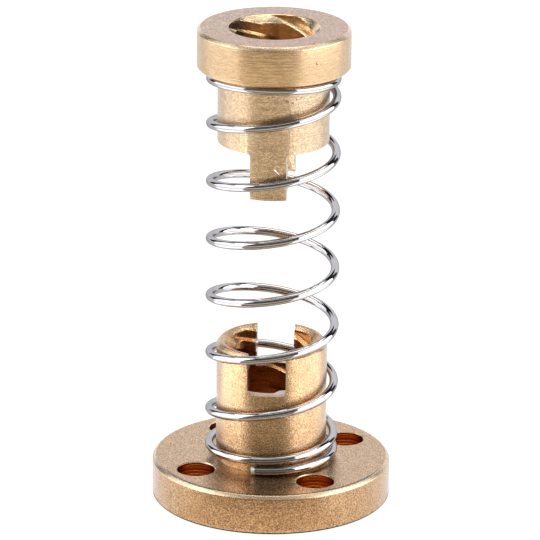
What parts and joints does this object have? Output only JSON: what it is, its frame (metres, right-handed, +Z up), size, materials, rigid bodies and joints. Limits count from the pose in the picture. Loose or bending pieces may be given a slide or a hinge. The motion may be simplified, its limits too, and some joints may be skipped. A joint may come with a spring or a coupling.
{
  "type": "anti-backlash lead screw nut",
  "caption": "Spring-loaded anti-backlash lead screw nut: a flanged brass nut and a capped follower nut, pushed apart by a steel spring and keyed by tongues in slots.",
  "frame": {"origin": "centre of the flange's mounting face, on the screw axis", "axes": "+Z up the screw axis, from the flange to the cap; -Y is the front, which the slot faces within 6 degrees"},
  "size_m": [0.022, 0.022, 0.0449],
  "materials": {
    "brass": "satin, with a fine tumbled grain",
    "spring_steel": "polished wire"
  },
  "bodies": {
    "flange_side": {"flanged_nut": "brass", "spring": "spring_steel"},
    "follower_side": {"follower_nut": "brass"}
  },
  "joints": [
    {"name": "follower_slide", "type": "slide", "parent": "flange_side", "child": "follower_side", "axis": [0, 0, 1], "range_m": [-0.0186, 0], "stiffness_N_per_m": 420, "springref_m": 0.0005, "deforming": ["spring"]}
  ]
}
